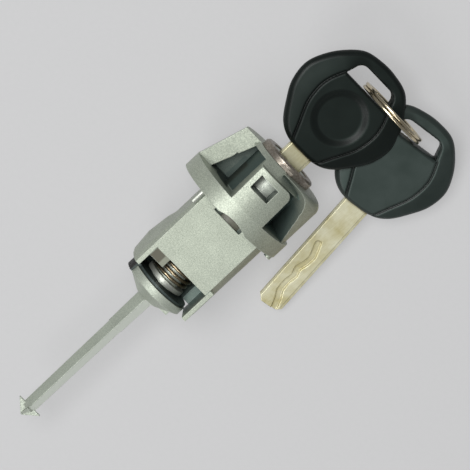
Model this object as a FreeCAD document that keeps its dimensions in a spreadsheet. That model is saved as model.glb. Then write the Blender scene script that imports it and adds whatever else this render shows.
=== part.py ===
# Car door lock cylinder with its key, a split ring and a spare key, in millimetres.
# The lock's axis is Y. The key side is -Y, the tail is +Y and +Z is up.
# The origin is on the axis, in the plane of the collar's rear face.
import FreeCAD, Part
import math
import os
import re
import Sketcher
from FreeCAD import Placement, Rotation, Vector

doc = FreeCAD.newDocument("door_lock_cylinder")
sheet = doc.addObject("Spreadsheet::Sheet", "sizes")

# Driving dimensions
SIZES = {
    # collar and head of the housing
    "collar_radius": 19.9,
    "collar_shift": 1.7,
    "collar_depth": 5.6,
    "head_shift": 1.2,
    "head_length": 16.3,
    "head_base_radius": 19.8,
    "head_front_radius": 15.3,
    "head_front_wall": 1.6,
    "rib_half_width": 6.6,
    "rib_front_radius": 16.8,
    "block_flat_height": 0.2,
    "block_lean": 5.4,
    "block_inner_reach": 16.1,
    "right_reach": 18.4,
    "right_front_round": 3.2,
    "pocket_draft": 0.3,
    "pocket_low_corner": 2.0,
    "pocket_high_corner": 6.0,
    "pocket_rim_height": 11.0,
    "rib_corner": 2.4,
    "pocket_floor": -9.0,
    "barrel_wall": 1.5,
    "neck_base_radius": 13.4,
    "neck_front_radius": 10.4,
    "neck_depth": 3.2,
    "sight_window": 7.1,
    "sight_window_length": 5.0,
    "sight_window_shift": 1.4,
    "sight_window_gap": 5.1,
    "thumb_notch_radius": 12.2,
    "thumb_notch_depth": 1.3,
    "thumb_groove_half": 5.5,
    "thumb_groove_length": 2.2,
    "thumb_groove_depth": 1.3,
    # body of the housing
    "body_radius": 14.2,
    "body_flat_height": 8.6,
    "body_side_reach": 12.3,
    "body_length": 31.0,
    "roof_length": 23.0,
    "rail_width": 2.4,
    "right_rail_extra": 2.2,
    "right_rail_width": 1.5,
    "right_rail_reach": 12.9,
    "right_rail_height": 9.0,
    "side_rib_depth": 1.5,
    "side_rib_start": 15.0,
    "side_rib_bottom": -7.0,
    "side_rib_top": 7.0,
    "side_rib_crest": -4.0,
    "nub_height": 3.0,
    "window_floor": -4.0,
    "spring_room_radius": 7.4,
    "clip_room_radius": 9.6,
    "lug_reach": 4.2,
    "lug_length": 3.5,
    "lug_bottom": 7.0,
    "lug_top": 7.9,
    # turning parts
    "plug_radius": 8.0,
    "running_fit": 0.05,
    "plug_length": 38.4,
    "shaft_radius": 4.5,
    "nose_radius": 7.0,
    "nose_gap": 0.4,
    "cap_radius": 10.0,
    "cap_depth": 2.5,
    "cap_edge_round": 0.6,
    "cap_tab_length": 1.1,
    "cap_tab_width": 4.7,
    # blade and its slot
    "blade_width": 9.0,
    "blade_thickness": 2.4,
    "blade_length": 44.0,
    "blade_tang": 9.0,
    "blade_exposed": 4.3,
    "blade_fit": 0.1,
    "track_width": 1.8,
    "track_depth": 0.7,
    # wafers
    "wafer_count": 8,
    "wafer_first": -15.6,
    "wafer_pitch": 3.6,
    "wafer_thickness": 1.0,
    "wafer_half_height": 2.9,
    "wafer_reach": 6.4,
    "wafer_spring_room": 1.3,
    "wafer_fit": 0.1,
    "wafer_wire": 0.26,
    "wafer_coil_turns": 3,
    # dust shutter
    "shutter_width": 9.2,
    "shutter_thickness": 0.5,
    "shutter_length": 5.2,
    "shutter_pin_radius": 0.5,
    "shutter_knuckle": 0.95,
    "shutter_coil_room": 3.2,
    "shutter_fit": 0.15,
    "shutter_pin_stub": 0.8,
    "shutter_wire": 0.2,
    "shutter_coil_turns": 6,
    # return spring, bush and clip
    "spring_wire": 1.1,
    "spring_coil_radius": 6.2,
    "spring_turns": 6.0,
    "rest_gap": 0.3,
    "bush_radius": 6.9,
    "bush_width": 1.5,
    "bush_end_gap": 0.7,
    "clip_thickness": 0.8,
    "clip_radius": 10.3,
    "clip_tab_length": 3.6,
    "clip_tab_thickness": 0.7,
    # tail rod
    "disc_radius": 10.75,
    "disc_rim": 2.5,
    "disc_gap": 1.1,
    "cone_length": 3.8,
    "cone_end_radius": 4.0,
    "rod_step": 52.0,
    "rod_end": 89.9,
    "rod_root_side": 4.2,
    "rod_step_side": 3.9,
    "rod_end_side": 3.3,
    "rod_side_step": 0.15,
    "arrow_length": 3.9,
    "arrow_half_width": 4.5,
    "arrow_thickness": 1.1,
    # pins
    "roll_pin_radius": 1.1,
    "roll_pin_length": 5.3,
    "roll_pin_reach": 12.6,
    "roll_pin_height": 7.6,
    "nub_radius": 1.2,
    "nub_length": 1.6,
    "nub_inset": 0.6,
    # key heads
    "head_half_width": 20.0,
    "head_reach": 37.2,
    "head_rim_half": 2.2,
    "head_panel_half": 2.8,
    "head_edge_round": 1.9,
    "loop_start": 27.2,
    "loop_depth": 5.6,
    "loop_inner_half": 9.4,
    "loop_outer_half": 7.6,
    "loop_corner": 2.6,
    "dish_centre": 15.9,
    "dish_radius": 9.4,
    "dish_floor_radius": 6.8,
    "dish_depth": 0.95,
    # ring and spare key
    "ring_outer_radius": 12.5,
    "ring_inner_radius": 10.9,
    "ring_turn_width": 1.05,
    "ring_turn_gap": 0.1,
    "ring_drop": 3.1,
    "spare_yaw_angle": 6.7,
    "spare_pitch_angle": 8.0,
}

for row, (alias, value) in enumerate(SIZES.items(), start=1):
    sheet.set("A%d" % row, alias.replace("_", " "))
    sheet.set("B%d" % row, repr(value))
    sheet.setAlias("B%d" % row, alias)
doc.recompute()

ALONG_Y = Rotation(Vector(1, 0, 0), -90)
ALONG_X = Rotation(Vector(0, 1, 0), 90)
parts = []


def size(alias):
    return float(getattr(sheet, alias))


def cell(text):
    """Turn alias names in a formula into references to the sheet."""
    return re.sub(r"[a-z][a-z_]+", lambda word: "sizes." + word.group(0), text)


def bind(thing, **formulas):
    for name, text in formulas.items():
        thing.setExpression(name.replace("__", "."), cell(text))
    return thing


def keep(thing, label):
    """Give a finished sub-part its label and put it on the list."""
    thing.Label = label
    parts.append(thing)
    return thing


# Building blocks

def rod(name, radius, start, end, x="0", z="0"):
    """A cylinder along Y."""
    thing = doc.addObject("Part::Cylinder", name)
    thing.Placement = Placement(Vector(), ALONG_Y)
    return bind(thing, Radius=radius, Height="(%s) - (%s)" % (end, start),
                Placement__Base__x=x, Placement__Base__y=start, Placement__Base__z=z)


def cross_rod(name, radius, start, end, y, z):
    """A cylinder along X."""
    thing = doc.addObject("Part::Cylinder", name)
    thing.Placement = Placement(Vector(), ALONG_X)
    return bind(thing, Radius=radius, Height="(%s) - (%s)" % (end, start),
                Placement__Base__x=start, Placement__Base__y=y, Placement__Base__z=z)


def post(name, radius, bottom, top, x, y):
    """A cylinder along Z."""
    thing = doc.addObject("Part::Cylinder", name)
    return bind(thing, Radius=radius, Height="(%s) - (%s)" % (top, bottom),
                Placement__Base__x=x, Placement__Base__y=y, Placement__Base__z=bottom)


def taper(name, radius_start, radius_end, start, end, x="0"):
    """A cone along Y."""
    thing = doc.addObject("Part::Cone", name)
    thing.Placement = Placement(Vector(), ALONG_Y)
    return bind(thing, Radius1=radius_start, Radius2=radius_end,
                Height="(%s) - (%s)" % (end, start),
                Placement__Base__x=x, Placement__Base__y=start)


def block(name, x, y, z):
    """A box between pairs of coordinates."""
    thing = doc.addObject("Part::Box", name)
    return bind(thing, Length="(%s) - (%s)" % (x[1], x[0]), Width="(%s) - (%s)" % (y[1], y[0]),
                Height="(%s) - (%s)" % (z[1], z[0]),
                Placement__Base__x=x[0], Placement__Base__y=y[0], Placement__Base__z=z[0])


def wedge(name, start, end, x_start, x_end, z_start, z_end, angle=0.0):
    """A bar along Y whose section changes from one end to the other."""
    thing = doc.addObject("Part::Wedge", name)
    thing.Placement = Placement(Vector(), Rotation(Vector(0, 1, 0), angle))
    return bind(thing, Ymin=start, Ymax=end, Xmin="-(%s)" % x_start, Xmax=x_start,
                X2min="-(%s)" % x_end, X2max=x_end, Zmin="-(%s)" % z_start, Zmax=z_start,
                Z2min="-(%s)" % z_end, Z2max=z_end)


def fuse(name, *things):
    joined = doc.addObject("Part::MultiFuse", name)
    joined.Shapes = list(things)
    joined.Refine = True
    return joined


def common(name, *things):
    shared = doc.addObject("Part::MultiCommon", name)
    shared.Shapes = list(things)
    return shared


def cut(name, base, *tools):
    result = base
    for number, tool in enumerate(tools, start=1):
        step = doc.addObject("Part::Cut", "%s_cut_%d" % (name, number))
        step.Base = result
        step.Tool = tool
        result = step
    return result


def solid(name, shape, placement=None):
    thing = doc.addObject("Part::Feature", name)
    thing.Shape = shape
    if placement is not None:
        thing.Placement = placement
    return thing


def sketch_on(body, role, outline, name):
    """A closed outline on one of the body's origin planes, each corner bound to the sheet."""
    plane = [item for item in body.Origin.OriginFeatures if item.Role == role][0]
    sketch = body.newObject("Sketcher::SketchObject", name)
    sketch.AttachmentSupport = [(plane, "")]
    sketch.MapMode = "FlatFace"
    count = len(outline)
    corners = [Vector(math.cos(2 * math.pi * i / count), math.sin(2 * math.pi * i / count), 0)
               for i in range(count)]
    for i in range(count):
        sketch.addGeometry(Part.LineSegment(corners[i], corners[(i + 1) % count]), False)
    for i in range(count):
        sketch.addConstraint(Sketcher.Constraint("Coincident", i, 2, (i + 1) % count, 1))
    for i, corner in enumerate(outline):
        for kind, text in zip(("DistanceX", "DistanceY"), corner):
            number = sketch.addConstraint(Sketcher.Constraint(kind, -1, 1, i, 1, 1.0))
            sketch.setExpression("Constraints[%d]" % number, cell(text))
    return sketch


def turned(name, outline):
    """A body turned about Y from an outline of (radius, y) corners."""
    body = doc.addObject("PartDesign::Body", name)
    sketch = sketch_on(body, "XY_Plane", outline, name + "_profile")
    doc.recompute()
    turn = body.newObject("PartDesign::Revolution", name + "_turn")
    turn.Profile = sketch
    turn.ReferenceAxis = (sketch, ["V_Axis"])
    turn.Angle = 360
    return body


def padded(name, role, outline, length, offset="0"):
    """A body padded from an outline on an origin plane."""
    body = doc.addObject("PartDesign::Body", name)
    sketch = sketch_on(body, role, outline, name + "_outline")
    bind(sketch, AttachmentOffset__Base__z=offset)
    doc.recompute()
    pad = body.newObject("PartDesign::Pad", name + "_pad")
    pad.Profile = sketch
    bind(pad, Length=length)
    return body


# Places that several pieces share
FRONT = "-collar_depth - head_length"
CAP_FACE = "-collar_depth - head_length - cap_depth"
KEY_ROOT = "-collar_depth - head_length - cap_depth - blade_exposed"
PLUG_END = "plug_length - collar_depth - head_length"
DISC_FACE = "body_length + disc_gap"
CONE_END = "body_length + disc_gap + disc_rim + cone_length"
FAR = "collar_radius + collar_radius"
NEAR = "-collar_radius - collar_radius"


def rounded_bar():
    """The right half's outside: a round bar along Y whose front edge is rounded."""
    body = turned("right_bar", [("0", FRONT), ("right_reach", FRONT),
                                ("right_reach", "-collar_depth"), ("0", "-collar_depth")])
    doc.recompute()
    turn = body.Tip
    front = front_of("head")
    edges = ["Edge%d" % number for number, edge in enumerate(turn.Shape.Edges, start=1)
             if edge.BoundBox.YLength < 1e-4 and abs(edge.BoundBox.YMin - front) < 1e-4
             and edge.BoundBox.XLength > size("right_reach")]
    fillet = body.newObject("PartDesign::Fillet", "right_bar_round")
    fillet.Base = (turn, edges)
    bind(fillet, Radius="right_front_round")
    doc.recompute()
    return bind(body, Placement__Base__x="head_shift")


def right_pocket():
    """A room with sloping outer and front walls and a rounded corner, wider at the top."""
    low = size("pocket_floor")
    high = size("collar_radius")
    back = -size("collar_depth")
    front = front_of("head") + size("head_front_wall")
    reach = size("block_inner_reach")
    lean = size("block_lean")
    wires = []
    for z, radius in ((low, size("pocket_low_corner")), (high, size("pocket_high_corner"))):
        inset = (size("pocket_rim_height") - z) * size("pocket_draft")
        corner = Vector(inset + lean - reach, front + inset, z)
        rear = Vector(inset - reach, back, z)
        inner = Vector(0, front + inset, z)
        into = corner + (rear - corner).normalize() * radius
        out = corner + (inner - corner).normalize() * radius
        middle = (into + out) * 0.25 + corner * 0.5
        edges = [Part.LineSegment(rear, into).toShape(), Part.Arc(into, middle, out).toShape(),
                 Part.LineSegment(out, inner).toShape(),
                 Part.LineSegment(inner, Vector(0, back, z)).toShape(),
                 Part.LineSegment(Vector(0, back, z), rear).toShape()]
        wires.append(Part.Wire(edges))
    return Part.makeLoft(wires, True, True)


def make_housing():
    collar = rod("collar", "collar_radius", "-collar_depth", "0", x="collar_shift")
    cone = taper("head_cone", "head_front_radius", "head_base_radius", FRONT, "-collar_depth",
                 x="collar_shift")
    rib_front = FRONT + " + neck_depth"
    rib_zone = block("rib_zone", ("-rib_half_width", "rib_half_width"),
                     (rib_front, "-collar_depth"), ("0", FAR))
    corner_end = rib_front + " + rib_corner"
    corner = block("rib_corner_square", ("-rib_half_width", "rib_corner - rib_half_width"),
                   (rib_front, corner_end), ("0", FAR))
    corner = cut("rib_corner_left_over", corner,
                 post("rib_corner_post", "rib_corner", "0", FAR, "rib_corner - rib_half_width",
                      corner_end))
    rib = common("rib", cut("rib_rounded", rib_zone, corner),
                 taper("rib_cone", "rib_front_radius", "collar_radius", FRONT, "-collar_depth",
                       x="collar_shift"))
    neck = taper("neck", "neck_front_radius", "neck_base_radius", FRONT, FRONT + " + neck_depth")
    neck = cut("neck_open", neck,
               block("neck_left_side", ("rib_half_width", FAR),
                     (FRONT + " + head_front_wall", rib_front), (NEAR, FAR)))

    # The left half of the head is a cone. The right half is straight with a rounded front.
    left_half = common("left_half", cone,
                       block("left_half_zone", ("0", FAR), (FRONT, "-collar_depth"), (NEAR, FAR)))
    right_half = common("right_half", rounded_bar(),
                        block("right_half_zone", (NEAR, "0"), (FRONT, "-collar_depth"),
                              (NEAR, FAR)))

    # The head is open upward on both sides of the rib.
    over_left = block("over_left", ("0", FAR), (FRONT, "-collar_depth"),
                      ("block_flat_height", FAR))
    left_pocket = padded("left_pocket", "XY_Plane",
                         [("0", "-collar_depth"),
                          ("block_inner_reach", "-collar_depth"),
                          ("block_inner_reach - block_lean", FRONT + " + head_front_wall"),
                          ("0", FRONT + " + head_front_wall")],
                         "collar_radius", offset="pocket_floor")
    head = fuse("head_halves", left_half, right_half)
    shell = cut("head_shell", head, over_left, left_pocket, solid("right_pocket", right_pocket()))
    barrel = rod("head_barrel", "plug_radius + running_fit + barrel_wall", FRONT, "-collar_depth")

    # A thumb notch in the collar's rear edge runs on as a shallow groove in the body's flat.
    notch_room = post("thumb_notch", "thumb_notch_radius", "body_flat_height", FAR,
                      "collar_shift / 2", "thumb_notch_radius - thumb_notch_depth")
    collar = cut("collar_notched", collar, notch_room)

    # The body is a round bar with a flat top, a flat left side and an outer rib on that side.
    round_body = rod("round_body", "body_radius", "0", "body_length")
    top_cut = block("body_top_cut", (NEAR, FAR), ("0", "body_length"),
                    ("body_flat_height", FAR))
    side_cut = block("body_side_cut", ("body_side_reach", FAR), ("0", "body_length"),
                     (NEAR, FAR))
    groove = block("thumb_groove", ("collar_shift / 2 - thumb_groove_half",
                                    "collar_shift / 2 + thumb_groove_half"),
                   ("0", "thumb_groove_length"), ("body_flat_height - thumb_groove_depth", FAR))
    body = cut("body_flats", round_body, top_cut, side_cut, groove)
    side_rib = padded("side_rib", "XY_Plane",
                      [("body_side_reach - rail_width", "side_rib_start - side_rib_depth"),
                       ("body_side_reach", "side_rib_start - side_rib_depth"),
                       ("body_side_reach + side_rib_depth / 2", "side_rib_start + side_rib_depth"),
                       ("body_side_reach + side_rib_depth", "side_rib_start * 8 / 5"),
                       ("body_side_reach + side_rib_depth / 2", "body_length"),
                       ("body_side_reach - rail_width", "body_length")],
                      "side_rib_top - side_rib_bottom", offset="side_rib_bottom")
    over_rib = padded("over_side_rib", "XZ_Plane",
                      [("body_side_reach", "side_rib_top"),
                       ("body_side_reach + side_rib_depth", "side_rib_crest"),
                       (FAR, "side_rib_crest"), (FAR, FAR), ("body_side_reach", FAR)],
                      "body_length", offset="-body_length")
    side_rib = cut("side_rib_sloped", side_rib, over_rib)
    right_rail = block("right_rail",
                       ("-right_rail_reach", "right_rail_width - right_rail_reach"),
                       ("roof_length - right_rail_extra", "body_length + right_rail_extra"),
                       ("window_floor", "right_rail_height"))
    nub = rod("nub", "nub_radius", "0", "nub_length",
              x="collar_shift - collar_radius + nub_radius + nub_inset", z="nub_height")

    whole = fuse("housing_whole", collar, shell, rib, barrel, neck, body, side_rib, right_rail, nub)

    bore = rod("plug_bore", "plug_radius + running_fit", CAP_FACE, PLUG_END)
    spring_room = rod("spring_room", "spring_room_radius", PLUG_END, "body_length")
    clip_room = rod("clip_room", "clip_room_radius", "roof_length",
                    "body_length + right_rail_extra")
    window = block("rear_window",
                   ("right_rail_width - right_rail_reach", "body_side_reach - rail_width"),
                   ("roof_length", "body_length + right_rail_extra"), ("window_floor", FAR))
    sight = block("sight_window",
                  ("sight_window_shift - sight_window / 2", "sight_window_shift + sight_window / 2"),
                  (FRONT + " + sight_window_gap",
                   FRONT + " + sight_window_gap + sight_window_length"),
                  ("plug_radius / 2", FAR))
    pin_hole = rod("roll_pin_hole", "roll_pin_radius", "-roll_pin_length / 2", "roll_pin_length",
                   x="roll_pin_reach", z="roll_pin_height")
    hollow = cut("housing_hollow", whole, bore, spring_room, clip_room, window, sight, pin_hole)
    lug = block("window_lug", ("lug_reach", "body_side_reach - rail_width / 2"),
                ("roof_length - rail_width / 2", "roof_length + lug_length"),
                ("lug_bottom", "lug_top"))
    keep(fuse("housing", hollow, lug), "housing")


def make_cap():
    hole = "nose_radius + running_fit + running_fit"
    body = turned("cap_turn",
                  [(hole, FRONT + " - running_fit"),
                   (hole, CAP_FACE),
                   ("cap_radius - cap_edge_round", CAP_FACE),
                   ("cap_radius", CAP_FACE + " + cap_edge_round"),
                   ("cap_radius", FRONT + " - running_fit")])
    tab = block("cap_tab", ("-cap_tab_width / 2", "cap_tab_width / 2"),
                (FRONT + " - cap_tab_length", FRONT + " - running_fit"),
                ("cap_radius - cap_edge_round", "cap_radius + cap_edge_round / 2"))
    keep(fuse("front_cap", body, tab), "front_cap")


def wafer_places():
    return [(i, "wafer_first + wafer_pitch * %d" % i) for i in range(int(size("wafer_count")))]


def make_plug():
    barrel = rod("plug_barrel", "plug_radius", FRONT, PLUG_END)
    nose = rod("plug_nose", "nose_radius", CAP_FACE + " + nose_gap", FRONT)
    shaft = rod("plug_shaft", "shaft_radius", PLUG_END, DISC_FACE)
    whole = fuse("plug_whole", barrel, nose, shaft)
    slot = block("blade_slot",
                 ("-blade_width / 2 - blade_fit", "blade_width / 2 + blade_fit"),
                 (CAP_FACE, KEY_ROOT + " + blade_length + wafer_thickness"),
                 ("-blade_thickness / 2 - blade_fit", "blade_thickness / 2 + blade_fit"))
    tools = [slot]
    for number, place in wafer_places():
        tools.append(block("wafer_slot_%d" % (number + 1),
                           ("-wafer_reach - wafer_spring_room + wafer_fit", "wafer_reach + wafer_fit"),
                           (place + " - wafer_fit", place + " + wafer_thickness + wafer_fit"),
                           ("-wafer_half_height - wafer_fit", "wafer_half_height + wafer_fit")))
    tools.append(block("shutter_room",
                       ("-shutter_width / 2 - shutter_fit", "shutter_width / 2 + shutter_fit"),
                       (CAP_FACE + " + nose_gap",
                        CAP_FACE + " + nose_gap + shutter_length + shutter_knuckle * 2"),
                       ("0", "blade_thickness / 2 + shutter_fit * 4 + shutter_knuckle * 2")))
    tools.append(cross_rod("shutter_pin_hole", "shutter_pin_radius", "-shutter_width / 2 - shutter_pin_stub",
                           "shutter_width / 2 + shutter_pin_stub", SHUTTER_Y, SHUTTER_Z))
    keep(cut("plug", whole, *tools), "plug")


SHUTTER_Y = CAP_FACE + " + nose_gap + shutter_knuckle + shutter_fit"
SHUTTER_Z = "blade_thickness / 2 + shutter_fit * 2 + shutter_knuckle"


def make_shutter():
    half = "shutter_width / 2"
    left = cross_rod("shutter_left", "shutter_knuckle", "-" + half, "-shutter_coil_room / 2",
                     SHUTTER_Y, SHUTTER_Z)
    right = cross_rod("shutter_right", "shutter_knuckle", "shutter_coil_room / 2", half,
                      SHUTTER_Y, SHUTTER_Z)
    flap = block("shutter_flap", ("-" + half, half),
                 (SHUTTER_Y + " + shutter_knuckle * 3 / 5", SHUTTER_Y + " + shutter_length"),
                 ("blade_thickness / 2 + shutter_fit * 2",
                  "blade_thickness / 2 + shutter_fit * 2 + shutter_thickness"))
    arms = [block("shutter_arm_%s" % side, span,
                  (SHUTTER_Y, SHUTTER_Y + " + shutter_knuckle * 8 / 5"),
                  ("blade_thickness / 2 + shutter_fit * 2",
                   "blade_thickness / 2 + shutter_fit * 2 + shutter_thickness"))
            for side, span in (("left", ("-" + half, "-shutter_coil_room / 2")),
                               ("right", ("shutter_coil_room / 2", half)))]
    whole = fuse("shutter_whole", left, right, flap, *arms)
    hole = cross_rod("shutter_hole", "shutter_pin_radius + running_fit", "-" + half, half,
                     SHUTTER_Y, SHUTTER_Z)
    keep(cut("dust_shutter", whole, hole), "dust_shutter")
    keep(cross_rod("shutter_pin", "shutter_pin_radius", "-" + half + " - shutter_pin_stub",
                   half + " + shutter_pin_stub", SHUTTER_Y, SHUTTER_Z), "shutter_pin")


def coil(radius, pitch, turns, wire, winding=Part.makeLongHelix):
    """A round wire wound about Z, as one solid."""
    spine = winding(pitch, pitch * turns, radius)
    section = Part.Wire(Part.makeCircle(wire / 2, Vector(radius, 0, 0), Vector(0, 1, 0)))
    return Part.Wire(spine.Edges).makePipeShell([section], True, True)


def make_springs():
    wire = size("spring_wire")
    turns = size("spring_turns")
    first = (size("plug_length") - size("collar_depth") - size("head_length")
             + size("rest_gap") + wire / 2)
    last = (size("body_length") - size("bush_end_gap") - size("bush_width")
            - size("rest_gap") - wire / 2)
    shape = coil(size("spring_coil_radius"), (last - first) / turns, turns, wire)
    keep(solid("return_spring", shape, Placement(Vector(0, first, 0), ALONG_Y)), "return_spring")

    radius = size("shutter_pin_radius") + size("running_fit") + size("shutter_wire") / 2
    turns = size("shutter_coil_turns")
    room = size("shutter_coil_room") - size("shutter_fit") * 3 - size("shutter_wire")
    shape = coil(radius, room / turns, turns, size("shutter_wire"))
    y = front_of("cap_face") + size("nose_gap") + size("shutter_knuckle") + size("shutter_fit")
    z = size("blade_thickness") / 2 + size("shutter_fit") * 2 + size("shutter_knuckle")
    keep(solid("shutter_spring", shape, Placement(Vector(-room / 2, y, z), ALONG_X)),
         "shutter_spring")

    for number, _ in wafer_places():
        wire = size("wafer_wire")
        turns = size("wafer_coil_turns")
        room = size("wafer_spring_room") - size("wafer_fit") * 4 - wire
        y = size("wafer_first") + size("wafer_pitch") * number + size("wafer_thickness") / 2
        shape = coil(size("wafer_thickness") / 2 - wire / 2, room / turns, turns, wire,
                     winding=Part.makeHelix)
        x = -size("wafer_reach") - size("wafer_spring_room") + size("wafer_fit") * 3 + wire / 2
        name = "wafer_spring_%d" % (number + 1)
        keep(solid(name, shape, Placement(Vector(x, y, 0), ALONG_X)), name)


def front_of(place):
    """The plane of the head's front, the cap's face or the key's root, in Y."""
    y = -size("collar_depth") - size("head_length")
    if place in ("cap_face", "key_root"):
        y -= size("cap_depth")
    if place == "key_root":
        y -= size("blade_exposed")
    return y


def make_wafers():
    for number, place in wafer_places():
        name = "wafer_%d" % (number + 1)
        body = doc.addObject("PartDesign::Body", name)
        sketch = sketch_on(body, "XZ_Plane",
                           [("-wafer_reach", "-wafer_half_height"),
                            ("wafer_reach", "-wafer_half_height"),
                            ("wafer_reach", "wafer_half_height"),
                            ("-wafer_reach", "wafer_half_height")], name + "_outline")
        bind(sketch, AttachmentOffset__Base__z="-(%s) - wafer_thickness" % place)
        doc.recompute()
        pad = body.newObject("PartDesign::Pad", name + "_pad")
        pad.Profile = sketch
        bind(pad, Length="wafer_thickness")
        doc.recompute()
        full = body.Shape.Volume
        opening = sketch_on(body, "XZ_Plane",
                            [("-blade_width / 2 - blade_fit", "-blade_thickness / 2 - blade_fit"),
                             ("blade_width / 2 + blade_fit", "-blade_thickness / 2 - blade_fit"),
                             ("blade_width / 2 + blade_fit", "blade_thickness / 2 + blade_fit"),
                             ("-blade_width / 2 - blade_fit", "blade_thickness / 2 + blade_fit")],
                            name + "_opening")
        bind(opening, AttachmentOffset__Base__z="-(%s) - wafer_thickness" % place)
        doc.recompute()
        pocket = body.newObject("PartDesign::Pocket", name + "_pocket")
        pocket.Profile = opening
        pocket.Reversed = True
        bind(pocket, Length="wafer_thickness")
        doc.recompute()
        if body.Shape.Volume >= full:
            raise RuntimeError(name + " has no opening")
        keep(body, name)


# The gaps in the clip's tab: (share of the tab's length, height as a share of the clip's radius)
CLIP_TEETH = [(0.55, -0.02), (0.7, 0.2), (0.5, 0.36)]


def make_tail():
    keep(cut("spring_bush",
             rod("bush_outside", "bush_radius", "body_length - bush_end_gap - bush_width",
                 "body_length - bush_end_gap"),
             rod("bush_inside", "shaft_radius + running_fit",
                 "body_length - bush_end_gap - bush_width", "body_length - bush_end_gap")),
         "spring_bush")

    disc = turned("tail_disc",
                  [("0", DISC_FACE), ("disc_radius", DISC_FACE),
                   ("disc_radius", DISC_FACE + " + disc_rim"),
                   ("cone_end_radius", CONE_END), ("0", CONE_END)])
    bar = wedge("tail_bar", CONE_END + " - cone_length", "rod_step", "rod_root_side / 2",
                "rod_step_side / 2", "rod_root_side / 2", "rod_step_side / 2", angle=45.0)
    thin_half = "rod_step_side / 2 - rod_side_step"
    thin = wedge("tail_bar_thin", "rod_step", "rod_end + arrow_length / 4", thin_half,
                 "rod_end_side / 2", thin_half, "rod_end_side / 2", angle=45.0)
    fins = [wedge("arrow_fin_%d" % (angle / 90 + 1), "rod_end", "rod_end + arrow_length",
                  "arrow_half_width", "arrow_thickness / 4", "arrow_thickness / 2",
                  "arrow_thickness / 4", angle=float(angle)) for angle in (0, 90)]
    foot = block("cone_foot", ("-cone_end_radius * 2", "-cone_end_radius"),
                 (DISC_FACE + " + disc_rim / 2", CONE_END + " - cone_length / 3"),
                 ("cone_end_radius / 4", "cone_end_radius"))
    keep(fuse("tail_rod", disc, bar, thin, foot, *fins), "tail_rod")

    # The clip is a flat ring behind the bush, with a toothed tab over the disc's rim.
    start = "body_length + running_fit * 2"
    end = start + " + clip_thickness"
    flat = rod("clip_flat", "clip_radius", start, end)
    reach = "disc_radius + running_fit * 4 + clip_tab_thickness"
    tab_outer = rod("clip_tab_outer", reach, start, start + " + clip_tab_length")
    tab_inner = rod("clip_tab_inner", "disc_radius + running_fit * 4", end,
                    start + " + clip_tab_length")
    sector = block("clip_sector", ("0", FAR), (start, start + " + clip_tab_length"),
                   ("-clip_radius / 8", "clip_radius / 2"))
    tab = common("clip_tab_sector", cut("clip_tab", tab_outer, tab_inner), sector)
    teeth = [block("clip_gap_%d" % number, ("clip_radius", FAR),
                   (start + " + clip_tab_length * %s" % share,
                    start + " + clip_tab_length"),
                   ("clip_radius * %s" % low, "clip_radius * %s + clip_thickness" % low))
             for number, (share, low) in enumerate(CLIP_TEETH)]
    hole = rod("clip_hole", "shaft_radius + running_fit", start, end)
    mouth = block("clip_mouth", ("-shaft_radius * 0.7", "shaft_radius * 0.7"), (start, end),
                  (NEAR, "0"))
    keep(cut("retaining_clip", fuse("clip_whole", flat, tab), hole, mouth, *teeth),
         "retaining_clip")


def make_roll_pin():
    keep(rod("roll_pin", "roll_pin_radius", "-roll_pin_length / 2", "roll_pin_length",
             x="roll_pin_reach", z="roll_pin_height"), "roll_pin")


# The milled track: (distance from the tip as a share of the blade's length, offset as a share
# of its width)
TRACK = [(-0.023, 0.29), (0.089, 0.09), (0.152, -0.07), (0.227, -0.09), (0.307, -0.02),
         (0.364, -0.11), (0.432, 0.0), (0.495, 0.035), (0.55, -0.055), (0.607, -0.155)]


def key_blade_shape():
    """A blade along +Y from the head's root, with the same track on both faces."""
    width = size("blade_width")
    thick = size("blade_thickness")
    tip = size("blade_length")
    shape = Part.makeBox(width, tip + size("blade_tang"), thick,
                         Vector(-width / 2, -size("blade_tang"), -thick / 2))
    reach = size("track_width") / 2
    deep = size("track_depth")
    for side in (1, -1):
        bottom = thick / 2 - deep if side > 0 else -thick / 2
        points = [Vector(-side * across * width, tip - along * tip, bottom)
                  for along, across in TRACK]
        for point in points:
            shape = shape.cut(Part.makeCylinder(reach, deep, point))
        for first, second in zip(points, points[1:]):
            run = second - first
            trench = Part.makeBox(run.Length, reach * 2, deep, Vector(0, -reach, 0))
            turn = Rotation(Vector(1, 0, 0), run)
            trench.Placement = Placement(first, turn)
            shape = shape.cut(trench)
    corner = width / 6
    for side in (1, -1):
        bevel = Part.Face(Part.makePolygon([Vector(side * width / 2, tip - corner, -thick),
                                            Vector(side * width / 2, tip, -thick),
                                            Vector(side * (width / 2 - corner), tip, -thick),
                                            Vector(side * width / 2, tip - corner, -thick)]))
        shape = shape.cut(bevel.extrude(Vector(0, 0, thick * 2)))
    return shape


def slab(face, half):
    """A face in the XY plane made into a plate of that half thickness."""
    plate = face.copy()
    plate.translate(Vector(0, 0, -half))
    return plate.extrude(Vector(0, 0, half * 2))


def smooth_face(side_points):
    """A face inside the smooth closed curve through these points and their mirror images."""
    curve = Part.BSplineCurve()
    other_side = [Vector(-point.x, point.y, 0) for point in reversed(side_points)]
    curve.interpolate(side_points + other_side, PeriodicFlag=True)
    return Part.Face(Part.Wire(curve.toShape()))


# One side of the moulded head: (share of its reach, share of its half width)
HEAD_SIDE = [(0.0, 0.24), (0.07, 0.55), (0.23, 0.8), (0.37, 0.95), (0.54, 1.0), (0.69, 0.91),
             (0.835, 0.73), (0.96, 0.47), (1.0, 0.15)]
PANEL_BULGE = [(0.0, 0.25), (0.34, 0.56)]


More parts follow.
